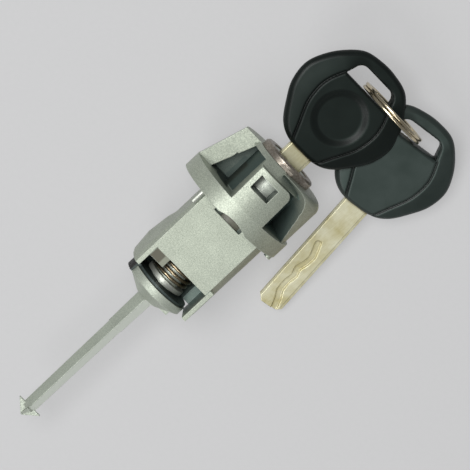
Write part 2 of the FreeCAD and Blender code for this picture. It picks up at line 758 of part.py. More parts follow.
def key_head_shape():
    """A moulded head that reaches along -Y from the root, with a loop and a dish on top."""
    wide = size("head_half_width")
    reach = size("head_reach")

    def at(along, across):
        return Vector(across * wide, -along * reach, 0)

    plate = slab(smooth_face([at(*share) for share in HEAD_SIDE]), size("head_rim_half"))
    rims = [edge for edge in plate.Edges if edge.BoundBox.ZLength < size("head_rim_half")]
    plate = plate.makeFillet(size("head_edge_round"), rims)

    start = size("loop_start")
    left = [at(*share) for share in PANEL_BULGE] + [Vector(size("loop_inner_half"), -start, 0)]
    right = [Vector(-point.x, point.y, 0) for point in left]
    edges = [Part.Arc(*left).toShape(), Part.LineSegment(left[2], right[2]).toShape(),
             Part.Arc(right[2], right[1], right[0]).toShape(),
             Part.LineSegment(right[0], left[0]).toShape()]
    head = plate.fuse(slab(Part.Face(Part.Wire(edges)), size("head_panel_half")))

    inner = size("loop_inner_half")
    outer = size("loop_outer_half")
    end = start + size("loop_depth")
    loop = Part.Face(Part.makePolygon([Vector(-inner, -start, 0), Vector(inner, -start, 0),
                                       Vector(outer, -end, 0), Vector(-outer, -end, 0),
                                       Vector(-inner, -start, 0)]))
    opening = slab(loop, wide)
    upright = [edge for edge in opening.Edges if edge.BoundBox.ZLength > wide]
    far = [edge for edge in upright if edge.BoundBox.YMin < -start - 0.1]
    opening = opening.makeFillet(size("loop_corner"), far)
    upright = [edge for edge in opening.Edges
               if edge.BoundBox.ZLength > wide and abs(edge.BoundBox.YMin + start) < 0.1
               and abs(abs(edge.BoundBox.XMin) - inner) < 0.1]
    head = head.cut(opening.makeFillet(size("loop_corner") / 4, upright))

    deep = size("dish_depth")
    base = Vector(0, -size("dish_centre"), size("head_panel_half") - deep)
    head = head.cut(Part.makeCone(size("dish_floor_radius"), size("dish_radius"), deep, base))
    tang = Part.makeBox(size("blade_width"), size("blade_tang") + size("head_edge_round"),
                        size("blade_thickness"),
                        Vector(-size("blade_width") / 2, -size("blade_tang"),
                               -size("blade_thickness") / 2))
    return head.cut(tang).removeSplitter()


def ring_centre():
    """The ring hangs in the first key's loop, close to the loop's inner edge."""
    half_width = size("ring_turn_width") + size("ring_turn_gap") / 2
    middle = (size("ring_outer_radius") + size("ring_inner_radius")) / 2
    drop = size("ring_drop")
    y = front_of("key_root") - size("loop_start") - size("rest_gap") - half_width
    return Vector(-math.sqrt(middle ** 2 - drop ** 2), y, -drop)


def spare_placement():
    """The spare key hangs on the ring's far side, below the first key's head."""
    yaw = Rotation(Vector(0, 0, 1), size("spare_yaw_angle"))
    pitch = Rotation(Vector(1, 0, 0), -size("spare_pitch_angle"))
    turn = yaw.multiply(pitch)
    centre = ring_centre()
    wire = Vector(centre.x * 2, centre.y, centre.z * 2)
    half_width = size("ring_turn_width") + size("ring_turn_gap") / 2
    grip = Vector(0, -size("loop_start") - size("rest_gap") * 2.5 - half_width, 0)
    return Placement(wire - turn.multVec(grip), turn)


def make_keys():
    blade = key_blade_shape()
    head = key_head_shape()
    root = Placement(Vector(0, front_of("key_root"), 0), Rotation())
    keep(solid("key_blade", blade, root), "key_blade")
    keep(solid("key_head", head, root), "key_head")
    over = Placement(Vector(), Rotation(Vector(0, 1, 0), 180))
    spare = spare_placement().multiply(over)
    keep(solid("spare_key_blade", blade.copy(), spare), "spare_key_blade")
    keep(solid("spare_key_head", head.copy(), spare), "spare_key_head")


def make_ring():
    """Two turns side by side, joined where the wire crosses from one to the other."""
    width = size("ring_turn_width")
    gap = size("ring_turn_gap")
    outer = size("ring_outer_radius")
    inner = size("ring_inner_radius")
    turns = []
    for side in (-1, 1):
        middle = side * (width + gap) / 2
        ring = Part.makeCylinder(outer, width, Vector(0, middle - width / 2, 0), Vector(0, 1, 0))
        hole = Part.makeCylinder(inner, width, Vector(0, middle - width / 2, 0), Vector(0, 1, 0))
        turns.append(ring.cut(hole))
    link = Part.makeBox(outer - inner, width, outer - inner,
                        Vector(-(outer - inner) / 2, -width / 2, -outer))
    bridge = link.common(Part.makeCylinder(outer, width, Vector(0, -width / 2, 0), Vector(0, 1, 0)))
    bridge = bridge.cut(Part.makeCylinder(inner, width, Vector(0, -width / 2, 0), Vector(0, 1, 0)))
    shape = turns[0].fuse([turns[1], bridge]).removeSplitter()
    keep(solid("split_ring", shape, Placement(ring_centre(), Rotation())), "split_ring")


make_housing()
make_cap()
make_plug()
make_shutter()
make_wafers()
make_springs()
make_tail()
make_roll_pin()
make_keys()
make_ring()
doc.recompute()

for thing in doc.Objects:
    if "Invalid" in thing.State or "Error" in thing.State:
        raise RuntimeError("%s failed: %s" % (thing.Name, thing.State))

os.makedirs("parts", exist_ok=True)
for part in parts:
    shape = part.Shape
    if shape.isNull() or not shape.isValid() or not shape.Solids:
        raise RuntimeError("%s has no valid solid" % part.Label)
    shape.exportStep("parts/%s.step" % part.Label)
    print("%-18s solids %d  volume %9.2f" % (part.Label, len(shape.Solids), shape.Volume))
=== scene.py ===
import math
import bmesh
import bpy
import numpy as np
from mathutils import Matrix, Vector

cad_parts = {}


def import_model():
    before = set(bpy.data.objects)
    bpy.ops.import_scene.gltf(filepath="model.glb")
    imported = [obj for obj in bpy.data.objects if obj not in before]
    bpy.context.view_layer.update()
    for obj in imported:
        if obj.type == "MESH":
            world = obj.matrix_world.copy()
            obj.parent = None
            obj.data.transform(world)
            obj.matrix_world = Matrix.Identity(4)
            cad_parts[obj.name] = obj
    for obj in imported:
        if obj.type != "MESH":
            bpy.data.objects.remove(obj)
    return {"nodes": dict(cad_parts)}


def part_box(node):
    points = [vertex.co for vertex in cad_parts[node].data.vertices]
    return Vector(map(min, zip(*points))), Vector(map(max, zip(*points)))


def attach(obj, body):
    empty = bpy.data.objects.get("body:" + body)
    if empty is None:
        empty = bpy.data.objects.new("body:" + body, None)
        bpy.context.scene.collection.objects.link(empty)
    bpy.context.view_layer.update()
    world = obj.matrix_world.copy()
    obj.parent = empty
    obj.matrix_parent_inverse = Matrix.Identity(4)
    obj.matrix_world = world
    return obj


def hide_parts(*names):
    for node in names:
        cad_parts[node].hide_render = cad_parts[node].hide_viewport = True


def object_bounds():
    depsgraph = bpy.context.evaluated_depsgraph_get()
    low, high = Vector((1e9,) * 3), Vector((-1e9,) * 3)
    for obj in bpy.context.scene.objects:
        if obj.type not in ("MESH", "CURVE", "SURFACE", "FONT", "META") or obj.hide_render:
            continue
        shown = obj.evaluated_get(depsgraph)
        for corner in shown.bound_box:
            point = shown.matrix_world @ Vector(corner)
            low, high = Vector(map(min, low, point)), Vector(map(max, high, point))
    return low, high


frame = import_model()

CAD_BOX = [list(corner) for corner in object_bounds()]
MM = 0.001
nodes = frame["nodes"]


# Shader helpers. All textures are placed by object coordinates, in metres.

MIX_FACTOR = 0
MIX_FIRST = 6
MIX_SECOND = 7
MIX_RESULT = 2
EDGE_SAMPLES = 6
HOLLOW_SAMPLES = 12


def new_material(name):
    material = bpy.data.materials.new(name)
    material.use_nodes = True
    tree = material.node_tree
    return material, tree, tree.nodes["Principled BSDF"]


def add(tree, kind, **inputs):
    node = tree.nodes.new(kind)
    for name, value in inputs.items():
        node.inputs[name.replace("_", " ")].default_value = value
    return node


def connect(tree, value, socket):
    """Links an output to a socket, or sets the socket to a fixed value."""
    if isinstance(value, bpy.types.NodeSocket):
        tree.links.new(value, socket)
    else:
        socket.default_value = value


def coordinates(tree, stretch=(1, 1, 1)):
    place = tree.nodes.new("ShaderNodeTexCoord")
    mapping = tree.nodes.new("ShaderNodeMapping")
    mapping.inputs["Scale"].default_value = stretch
    tree.links.new(place.outputs["Object"], mapping.inputs["Vector"])
    return mapping.outputs["Vector"]


def noise(tree, size_mm, detail=3.0, roughness=0.55, stretch=(1, 1, 1)):
    """Noise whose blobs are about this size."""
    node = add(tree, "ShaderNodeTexNoise", Scale=1.0 / (size_mm * MM), Detail=detail,
               Roughness=roughness)
    tree.links.new(coordinates(tree, stretch), node.inputs["Vector"])
    return node.outputs["Fac"]


def ramp(tree, source, low, high):
    """A colour for each value, blended between two stops of (value, colour)."""
    node = tree.nodes.new("ShaderNodeValToRGB")
    for element, (place, colour) in zip(node.color_ramp.elements, (low, high)):
        element.position = place
        element.color = (*colour, 1.0)
    tree.links.new(source, node.inputs["Fac"])
    return node.outputs["Color"]


def grey(value):
    return (value, value, value)


def mix(tree, factor, first, second, blend="MIX"):
    """Two colours mixed. Each of them, and the factor, is an output or a fixed value."""
    node = tree.nodes.new("ShaderNodeMix")
    node.data_type = "RGBA"
    node.blend_type = blend
    connect(tree, factor, node.inputs[MIX_FACTOR])
    for socket, colour in ((MIX_FIRST, first), (MIX_SECOND, second)):
        fixed = isinstance(colour, tuple)
        connect(tree, (*colour, 1.0) if fixed else colour, node.inputs[socket])
    return node.outputs[MIX_RESULT]


def multiplied(tree, first, second):
    return mix(tree, 1.0, first, second, "MULTIPLY")


def calculate(tree, operation, first, second):
    """Two numbers put together by a Math node."""
    node = tree.nodes.new("ShaderNodeMath")
    node.operation = operation
    connect(tree, first, node.inputs[0])
    connect(tree, second, node.inputs[1])
    return node.outputs["Value"]


def on_vectors(tree, operation, output, first, *second):
    """One vector, or two put together, by a Vector Math node. Gives the named output."""
    node = tree.nodes.new("ShaderNodeVectorMath")
    node.operation = operation
    for value, socket in zip((first, *second), node.inputs):
        connect(tree, value, socket)
    return node.outputs[output]


def bump(tree, shader, height, depth_mm, strength, normal=None):
    node = add(tree, "ShaderNodeBump", Strength=strength, Distance=depth_mm * MM)
    tree.links.new(height, node.inputs["Height"])
    if normal is not None:
        tree.links.new(normal, node.inputs["Normal"])
    tree.links.new(node.outputs["Normal"], shader.inputs["Normal"])


def rounded_normal(tree, radius_mm):
    node = add(tree, "ShaderNodeBevel", Radius=radius_mm * MM)
    node.samples = EDGE_SAMPLES
    return node.outputs["Normal"]


def painted_recess_shade(tree, colour, tone, reach_mm, closed, opened):
    """The colour, darkened to a tone of its own inside pockets and gaps: painted shade."""
    hollow = add(tree, "ShaderNodeAmbientOcclusion", Distance=reach_mm * MM)
    hollow.samples = HOLLOW_SAMPLES
    share = ramp(tree, hollow.outputs["AO"], (closed, grey(1.0)), (opened, grey(0.0)))
    return mix(tree, share, colour, tone)


# Shares: white where something holds, black elsewhere

def both(tree, *shares):
    """White where all of these are white."""
    result = shares[0]
    for share in shares[1:]:
        result = calculate(tree, "MULTIPLY", result, share)
    return result


def between(tree, source, low_mm, high_mm, soft_mm=0.2):
    """White where a length lies between two values."""
    edges = []
    for start, end in ((low_mm - soft_mm, low_mm + soft_mm), (high_mm + soft_mm, high_mm - soft_mm)):
        edge = tree.nodes.new("ShaderNodeMapRange")
        edge.inputs["From Min"].default_value = start * MM
        edge.inputs["From Max"].default_value = end * MM
        tree.links.new(source, edge.inputs["Value"])
        edges.append(edge.outputs["Result"])
    return both(tree, *edges)


def zone(tree, **ranges):
    """White inside a box, given as ranges in millimetres along X, Y and Z."""
    place = tree.nodes.new("ShaderNodeTexCoord")
    split = tree.nodes.new("ShaderNodeSeparateXYZ")
    tree.links.new(place.outputs["Object"], split.inputs["Vector"])
    return both(tree, *[between(tree, split.outputs[axis], *span) for axis, span in ranges.items()])


def near_axis(tree, radius_mm):
    """White within this distance of the lock's axis."""
    place = tree.nodes.new("ShaderNodeTexCoord")
    flat = on_vectors(tree, "MULTIPLY", "Vector", place.outputs["Object"], (1, 0, 1))
    reach = on_vectors(tree, "LENGTH", "Value", flat)
    return between(tree, reach, -1.0, radius_mm, 0.1)


def sharp_edges(tree, radius_mm, flat=0.985, sharp=0.86):
    """White along edges, where a rounded surface would turn away from the real one."""
    surface = tree.nodes.new("ShaderNodeNewGeometry")
    turn = on_vectors(tree, "DOT_PRODUCT", "Value", rounded_normal(tree, radius_mm),
                      surface.outputs["Normal"])
    return ramp(tree, turn, (sharp, grey(1.0)), (flat, grey(0.0)))


def facing(tree, direction, away, towards):
    """White where the piece's surface looks one way, black where it is turned off it."""
    place = tree.nodes.new("ShaderNodeTexCoord")
    turn = on_vectors(tree, "DOT_PRODUCT", "Value", place.outputs["Normal"], direction)
    return ramp(tree, turn, (away, grey(0.0)), (towards, grey(1.0)))


# Materials. Places on the castings are in millimetres of the common frame.

BARREL_WALL = {"Y": (-20.0, -5.7)}
BARREL_WALL_RADIUS = 9.8
WINDOW_LUG = {"X": (3.0, 9.7), "Y": (23.2, 27.0), "Z": (6.8, 8.1)}
WINDOW_LUG_END = {"X": (3.0, 6.0), "Y": (23.2, 27.0), "Z": (6.8, 8.1)}
CRESCENT_GROOVE = {"X": (-5.0, 6.7), "Y": (-0.2, 2.1), "Z": (6.0, 8.4)}
LEFT_POCKET_FLOOR = {"X": (8.6, 14.0), "Y": (-14.4, -3.5)}
LEFT_POCKET_RADIUS = 13.5
LEFT_POCKET_WALL = {"X": (4.2, 8.6), "Y": (-21.0, -2.0)}
RIGHT_POCKET = {"X": (-21.0, -8.0)}
LIT_SIDE_OF_BAR = {"X": (-3.4, -0.1), "Y": (38.0, 90.0)}
SHADED_BAND = {"Y": (-0.6, 2.8)}
CLIP_TAB = {"X": (10.2, 14.0)}

# Tones of painted shade for the pockets and hollows.
POCKET_SHADE = (0.058, 0.084, 0.074)
PALE_POCKET_SHADE = (0.13, 0.18, 0.165)
# The tone of painted highlights along the castings' edges.
EDGE_HIGHLIGHT = (0.66, 0.72, 0.62)
ZINC_METALLIC = 0.5


def zinc_skin(name, dark, light, grain_mm, roughness):
    """Zinc die casting: a matte skin with fine bright grain. Gives its colour to be finished."""
    material, tree, shader = new_material(name)
    grain = noise(tree, grain_mm, detail=2.0, roughness=0.7)
    cloud = noise(tree, 7.0, detail=2.0)
    colour = ramp(tree, grain, (0.32, dark), (0.68, light))
    shade = ramp(tree, cloud, (0.3, grey(0.88)), (0.7, grey(1.0)))
    colour = multiplied(tree, colour, shade)
    rough = ramp(tree, grain, (0.3, grey(roughness + 0.1)), (0.7, grey(roughness - 0.08)))
    tree.links.new(rough, shader.inputs["Roughness"])
    shader.inputs["Metallic"].default_value = ZINC_METALLIC
    bump(tree, shader, grain, depth_mm=0.03, strength=0.5, normal=rounded_normal(tree, 0.3))
    return material, tree, shader, colour


def housing_zinc(name):
    """The housing's casting, painted darker and browner on its right flank and dark in its pockets,
    as shade.
    """
    material, tree, shader, colour = zinc_skin(name, (0.29, 0.325, 0.265), (0.54, 0.58, 0.48),
                                               grain_mm=0.32, roughness=0.47)
    # Painted shade: the barrel wall seen through the pockets is painted dark.
    barrel = both(tree, near_axis(tree, BARREL_WALL_RADIUS), zone(tree, **BARREL_WALL))
    colour = mix(tree, barrel, colour, POCKET_SHADE)
    # Painted shade: the lug in the rear window is painted dark, lighter over its end towards the
    # axis.
    colour = mix(tree, zone(tree, **WINDOW_LUG), colour, (0.10, 0.095, 0.07))
    colour = mix(tree, zone(tree, **WINDOW_LUG_END), colour, (0.22, 0.23, 0.18))
    # Painted shade: the groove behind the collar is painted dark.
    colour = mix(tree, zone(tree, **CRESCENT_GROOVE), colour, (0.16, 0.16, 0.125))
    # Painted shade: faces turned towards -X are painted darker and browner.
    right_flank = facing(tree, (-1.0, 0.0, 0.0), away=0.3, towards=0.9)
    minus_x_shade = mix(tree, right_flank, grey(1.0), (0.74, 0.69, 0.60))
    colour = multiplied(tree, colour, minus_x_shade)
    # Painted highlights: edges painted paler.
    colour = mix(tree, sharp_edges(tree, 0.22), colour, EDGE_HIGHLIGHT)
    # Painted shade: the left pocket's floor is painted dark.
    pocket_floor = both(tree, near_axis(tree, LEFT_POCKET_RADIUS), zone(tree, **LEFT_POCKET_FLOOR))
    colour = mix(tree, pocket_floor, colour, (0.05, 0.062, 0.05))
    # Painted shade in the hollows, paler in the right pocket and on the left pocket's wall.
    tone = mix(tree, zone(tree, **RIGHT_POCKET), POCKET_SHADE, PALE_POCKET_SHADE)
    tone = mix(tree, zone(tree, **LEFT_POCKET_WALL), tone, PALE_POCKET_SHADE)
    colour = painted_recess_shade(tree, colour, tone, reach_mm=11.0, closed=0.15, opened=0.55)
    tree.links.new(colour, shader.inputs["Base Color"])
    return material


def tail_zinc(name):
    """The tail's casting, painted paler on the right-hand side of the bar as light falling there,
    with painted highlights on its edges.
    """
    material, tree, shader, colour = zinc_skin(name, (0.34, 0.38, 0.32), (0.54, 0.58, 0.49),
                                               grain_mm=0.3, roughness=0.5)
    # Painted light: the right-hand side of the bar is painted paler.
    colour = mix(tree, zone(tree, **LIT_SIDE_OF_BAR), colour, (0.74, 0.78, 0.70))
    colour = mix(tree, sharp_edges(tree, 0.2), colour, EDGE_HIGHLIGHT)
    tree.links.new(colour, shader.inputs["Base Color"])
    return material


def barrel_zinc(name):
    """The plug's smoother casting, with a band behind the collar painted dark and dull: painted
    shade.
    """
    material, tree, shader, colour = zinc_skin(name, (0.46, 0.50, 0.44), (0.70, 0.74, 0.65),
                                               grain_mm=0.3, roughness=0.42)
    # Painted shade: the band seen in the groove behind the collar is dark and not metallic.
    band_shade = zone(tree, **SHADED_BAND)
    colour = mix(tree, band_shade, colour, (0.14, 0.138, 0.105))
    tree.links.new(colour, shader.inputs["Base Color"])
    metallic = mix(tree, band_shade, grey(ZINC_METALLIC), grey(0.0))
    tree.links.new(metallic, shader.inputs["Metallic"])
    return material


def steel(name, dark, light, roughness, streak_mm=0.5, metallic=1.0, depth_mm=0.006):
    """Worked steel: specks in the colour and the gloss."""
    material, tree, shader = new_material(name)
    streak = noise(tree, streak_mm, detail=4.0, roughness=0.6)
    tree.links.new(ramp(tree, streak, (0.3, dark), (0.7, light)), shader.inputs["Base Color"])
    rough = ramp(tree, streak, (0.3, grey(roughness * 1.3)), (0.7, grey(roughness * 0.75)))
    tree.links.new(rough, shader.inputs["Roughness"])
    shader.inputs["Metallic"].default_value = metallic
    bump(tree, shader, streak, depth_mm, strength=0.4, normal=rounded_normal(tree, 0.12))
    return material


def clip_steel(name):
    """Blackened spring steel: oily green-grey on the flat, black on the toothed tab."""
    material, tree, shader = new_material(name)
    oil = noise(tree, 1.1)
    colour = ramp(tree, oil, (0.3, (0.026, 0.038, 0.034)), (0.7, (0.052, 0.072, 0.066)))
    colour = mix(tree, zone(tree, **CLIP_TAB), colour, (0.010, 0.010, 0.009))
    tree.links.new(colour, shader.inputs["Base Color"])
    rough = ramp(tree, oil, (0.3, grey(0.58)), (0.7, grey(0.42)))
    tree.links.new(rough, shader.inputs["Roughness"])
    shader.inputs["Metallic"].default_value = 0.3
    bump(tree, shader, oil, depth_mm=0.02, strength=0.4, normal=rounded_normal(tree, 0.12))
    return material


def key_metal(name):
    """Pale nickel silver with lengthwise brushing, a cloudy yellow tarnish, painted highlights along
    its edges and painted shade in its track.
    """
    material, tree, shader = new_material(name)
    brush = noise(tree, 0.35, stretch=(1, 0.06, 1))
    cloud = noise(tree, 6.0)
    colour = ramp(tree, cloud, (0.3, (0.64, 0.57, 0.27)), (0.7, (1.0, 0.98, 0.74)))
    brushed = ramp(tree, brush, (0.3, (0.52, 0.46, 0.21)), (0.7, (0.92, 0.90, 0.70)))
    colour = mix(tree, 0.25, colour, brushed)
    # Painted highlights: edges painted paler.
    colour = mix(tree, sharp_edges(tree, 0.25), colour, (1.0, 0.98, 0.84))
    # Painted shade in the track's corners.
    colour = painted_recess_shade(tree, colour, (0.15, 0.11, 0.03), reach_mm=1.1, closed=0.55, opened=0.93)
    tree.links.new(colour, shader.inputs["Base Color"])
    rough = ramp(tree, brush, (0.3, grey(0.44)), (0.7, grey(0.32)))
    tree.links.new(rough, shader.inputs["Roughness"])
    shader.inputs["Metallic"].default_value = 0.55
    bump(tree, shader, brush, depth_mm=0.015, strength=0.4)
    return material


def key_plastic(name, dark, light, shine, panel_way):
    """Soft black moulding with a very fine spark-eroded grain. Faces turned off its flat panel are
    painted darker as shade, and its grooves black as shade.
    """
    material, tree, shader = new_material(name)
    grain = noise(tree, 0.16, detail=2.0, roughness=0.7)
    cloud = noise(tree, 9.0, detail=2.0)
    colour = ramp(tree, cloud, (0.3, dark), (0.7, light))
    # Painted shade: faces turned off the panel's way are painted darker.
    panel = facing(tree, panel_way, away=0.96, towards=0.998)
    colour = multiplied(tree, colour, mix(tree, panel, grey(0.36), grey(1.0)))
    colour = painted_recess_shade(tree, colour, grey(0.001), reach_mm=1.2, closed=0.5, opened=0.92)
    tree.links.new(colour, shader.inputs["Base Color"])
    rough = ramp(tree, grain, (0.3, grey(0.48)), (0.7, grey(0.38)))
    tree.links.new(rough, shader.inputs["Roughness"])
    shader.inputs["Specular IOR Level"].default_value = shine
    bump(tree, shader, grain, depth_mm=0.012, strength=0.35)
    return material


CAP_STEEL = steel("cap_steel", (0.15, 0.125, 0.10), (0.40, 0.365, 0.31), roughness=0.38,
                  streak_mm=0.6, metallic=0.8, depth_mm=0.015)
BRIGHT_STEEL = steel("bright_steel", (0.40, 0.42, 0.37), (0.56, 0.58, 0.52), roughness=0.46,
                     metallic=0.8)
COPPER_WIRE = steel("copper_wire", (0.13, 0.10, 0.06), (0.50, 0.41, 0.27), roughness=0.3,
                    streak_mm=0.6)
BRASS = steel("wafer_brass", (0.48, 0.34, 0.13), (0.68, 0.52, 0.25), roughness=0.32)
RING_STEEL = steel("ring_steel", (0.46, 0.39, 0.26), (0.66, 0.59, 0.44), roughness=0.2,
                   streak_mm=5.0, depth_mm=0.002)
KEY_METAL = key_metal("key_metal")
KEY_PLASTIC = key_plastic("key_plastic", (0.010, 0.017, 0.014), (0.016, 0.025, 0.021),
                          shine=0.22, panel_way=(0.0, 0.0, 1.0))
# Painted light: the spare's head, tilted towards the light, is a paler copy of the same moulding.
SPARE_PLASTIC = key_plastic("spare_plastic", (0.044, 0.066, 0.057), (0.070, 0.096, 0.086),
                            shine=0.33, panel_way=(-0.016, 0.138, 0.990))


def dress(material, *names):
    """Puts the material on these nodes."""
    for name in names:
        mesh = nodes[name].data
        mesh.materials.clear()
        mesh.materials.append(material)


WAFERS = range(1, 9)
dress(housing_zinc("zinc_casting"), "housing")
dress(barrel_zinc("zinc_barrel"), "plug")
dress(tail_zinc("zinc_tail"), "tail_rod")
dress(CAP_STEEL, "front_cap", "dust_shutter")
dress(BRIGHT_STEEL, "roll_pin", "shutter_pin", "shutter_spring", "spring_bush",
      *["wafer_spring_%d" % number for number in WAFERS])
dress(clip_steel("black_steel"), "retaining_clip")
dress(COPPER_WIRE, "return_spring")
dress(BRASS, *["wafer_%d" % number for number in WAFERS])


# Outlines, as points in millimetres

def smooth_curve(points, steps, closed=True):
    """A curve through the points, evenly stepped between each pair."""
    knots = np.array(points, float)
    count = len(knots)
    if not closed:
        before = 2 * knots[0] - knots[1]
        beyond = 2 * knots[-1] - knots[-2]
        knots = np.concatenate([[before], knots, [beyond]])
    out = []
    for i in range(count if closed else count - 1):
        first = i if closed else i + 1
        a, b, c, d = (knots[(first + shift) % len(knots)] for shift in (-1, 0, 1, 2))
        for t in np.linspace(0, 1, steps, endpoint=False):
            out.append(0.5 * (2 * b + (c - a) * t + (2 * a - 5 * b + 4 * c - d) * t ** 2
                              + (3 * b - a - 3 * c + d) * t ** 3))
    if not closed:
        out.append(knots[-2])
    return np.array(out)


def rounded(corners, trims, steps=8):
    """A closed outline with each corner rounded off."""
    points = [np.array(corner, float) for corner in corners]
    out = []
    for i, (here, trim) in enumerate(zip(points, trims)):
        before = points[i - 1]
        after = points[(i + 1) % len(points)]
        first = here + (before - here) / np.linalg.norm(before - here) * trim
        last = here + (after - here) / np.linalg.norm(after - here) * trim
        for t in np.linspace(0, 1, steps + 1):
            out.append((1 - t) ** 2 * first + 2 * t * (1 - t) * here + t ** 2 * last)
    return out


def both_sides(side):
    """The points of one side and their mirror images, as one closed outline."""
    return list(side) + [(-x, y) for x, y in reversed(side)]


def distance_to_line(points, line, closed=False):
    """The distance of each point to a run of straight pieces."""
    ends = list(zip(line[:-1], line[1:]))
    if closed:
        ends.append((line[-1], line[0]))
    best = np.full(len(points), np.inf)
    for start, end in ends:
        run = end - start
        share = np.clip(((points - start) @ run) / (run @ run), 0, 1)
        best = np.minimum(best, np.linalg.norm(points - (start + share[:, None] * run), axis=1))
    return best


def inside(points, outline):
    """Whether each point lies inside a closed outline."""
    result = np.zeros(len(points), bool)
    x, y = points[:, 0], points[:, 1]
    for (x1, y1), (x2, y2) in zip(outline, np.roll(outline, -1, axis=0)):
        if y1 == y2:
            continue
        crosses = (y1 > y) != (y2 > y)
        result ^= crosses & (x < (x2 - x1) * (y - y1) / (y2 - y1) + x1)
    return result


def outline_reach(outline, centre, angle):
    """How far the outline lies from the centre in one direction."""
    direction = np.array([math.cos(angle), math.sin(angle)])
    tiny = 1e-9
    best = 0.0
    for start, end in zip(outline, np.roll(outline, -1, axis=0)):
        run = end - start
        area = direction[0] * run[1] - direction[1] * run[0]
        if abs(area) < tiny:
            continue
        gap = start - centre
        far = (gap[0] * run[1] - gap[1] * run[0]) / area
        share = (gap[0] * direction[1] - gap[1] * direction[0]) / area
        if far > 0 and -tiny <= share <= 1 + tiny:
            best = max(best, far)
    return best


def smoothstep(value):
    value = np.clip(value, 0, 1)
    return value * value * (3 - 2 * value)


# Pieces that stand in for nodes. A key's own frame has its origin where the blade leaves the
# head: the blade reaches along +Y, the head along -Y, and the faces look along +Z and -Z.

RIDES = {"key_blade": "key", "key_head": "key", "split_ring": "ring",
         "spare_key_blade": "spare_key", "spare_key_head": "spare_key"}
BLADE_LENGTH = 44.0


def new_object(name, shape):
    thing = bpy.data.objects.new(name, shape)
    bpy.context.scene.collection.objects.link(thing)
    return thing


def stand_in(name, node, shape, placement, material):
    """A piece that takes its node's place and rides with the node's body."""
    shape.transform(placement)
    shape.polygons.foreach_set("use_smooth", [True] * len(shape.polygons))
    shape.materials.clear()
    shape.materials.append(material)
    piece = new_object(name, shape)
    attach(piece, RIDES[node])
    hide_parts(node)


def key_placement(blade):
    """Where a key's own frame lies, found from the long, wide and thin ways of its blade."""
    points = np.array([vertex.co for vertex in nodes[blade].data.vertices], float)
    middle = points.mean(axis=0)
    _, _, ways = np.linalg.svd(points - middle, full_matrices=False)
    along = Vector(ways[0])
    if along.y < 0:
        along = -along
    normal = Vector(ways[2])
    if normal.z < 0:
        normal = -normal
    across = along.cross(normal).normalized()
    reach, width, thickness = ((points - middle) @ np.array(way) for way in (along, across, normal))
    centre = (Vector(middle) + across * float(width.max() + width.min()) / 2
              + normal * float(thickness.max() + thickness.min()) / 2)
    root = centre + along * float(reach.max()) - along * BLADE_LENGTH * MM
    turn = Matrix((across, along, normal)).transposed().to_4x4()
    return Matrix.Translation(root) @ turn


# Key heads, in millimetres of a key's own frame. RIM_HALF and PANEL_HALF are heights above its
# middle plane.

HEAD_SIDE = [(4.8, 0.0), (11.0, -2.6), (16.0, -8.6), (19.0, -13.8), (20.0, -20.1), (18.2, -25.7),
             (14.6, -31.1), (9.4, -35.7), (3.0, -37.2)]
SIDE_STEPS = 12
PANEL_SIDE = [(5.3, -0.3), (8.0, -5.9), (11.2, -12.5), (12.2, -18.4), (11.6, -22.7), (9.8, -27.2)]
PANEL_STEPS = 8
LOOP = [(9.4, -27.2), (7.6, -32.8), (-7.6, -32.8), (-9.4, -27.2)]
LOOP_CORNERS = (0.65, 2.6, 2.6, 0.65)
LOOP_LIP = 0.8
LIP_STEEPEST = 0.98
LOOP_CUTTER_HALF = 8.0
RIM_HALF = 1.8
PANEL_HALF = 2.75
RIM_ROUND = 1.7
GROOVE_DEPTH = 0.6
GROOVE_HALF = 0.34
WING_STEP = 0.2
WING_FALL = 9.0
DISH_CENTRE = (0.0, -15.9)
DISH_OUTER = 9.4
DISH_FLOOR = 6.8
DISH_DEPTH = 0.95
RAYS = 380
RINGS = 96
RING_CROWDING = 1.6


def face_height(points, rim_gap, dish):
    """The height of a head's face above its middle plane."""
    right = smooth_curve(PANEL_SIDE, PANEL_STEPS, closed=False)
    left = right * (-1, 1)
    in_panel = inside(points, np.concatenate([right, left[::-1]]))
    groove_gap = np.minimum(distance_to_line(points, right), distance_to_line(points, left))
    wing = PANEL_HALF - WING_STEP - (PANEL_HALF - RIM_HALF) * smoothstep(groove_gap / WING_FALL)
    height = np.where(in_panel, PANEL_HALF, wing)
    height -= GROOVE_DEPTH * np.exp(-(groove_gap / GROOVE_HALF) ** 2)
    if dish:
        radius = np.linalg.norm(points - np.array(DISH_CENTRE), axis=1)
        height -= DISH_DEPTH * (1 - smoothstep((radius - DISH_FLOOR) / (DISH_OUTER - DISH_FLOOR)))
    loop = np.array(rounded(LOOP, LOOP_CORNERS))
    lip = np.clip(1 - distance_to_line(points, loop, closed=True) / LOOP_LIP, 0, LIP_STEEPEST)
    height -= LOOP_LIP * (1 - np.sqrt(1 - lip ** 2))
    edge = np.clip(1 - rim_gap / RIM_ROUND, 0, 1)
    return height * np.sqrt(1 - edge ** 2)


def head_grid():
    """Points over a head on rays from its dish's centre, and the gap of each to the rim."""
    outline = smooth_curve(both_sides(HEAD_SIDE), SIDE_STEPS)
    centre = np.array(DISH_CENTRE)
    angles = np.linspace(0, 2 * math.pi, RAYS, endpoint=False)
    reach = np.array([outline_reach(outline, centre, angle) for angle in angles])
    share = 1 - (1 - np.linspace(0, 1, RINGS + 1)[1:]) ** RING_CROWDING
    directions = np.stack([np.cos(angles), np.sin(angles)], axis=1)
    points = centre + (share[:, None, None] * reach[None, :, None]) * directions[None]
    points = points.reshape(-1, 2)
    rim_gap = distance_to_line(points, outline, closed=True)
    rim_gap[-RAYS:] = 0
    return points, rim_gap


def finish_mesh(mesh, name):
    """The built mesh as mesh data, ready for an object."""
    shape = bpy.data.meshes.new(name)
    mesh.to_mesh(shape)
    mesh.free()
    return shape


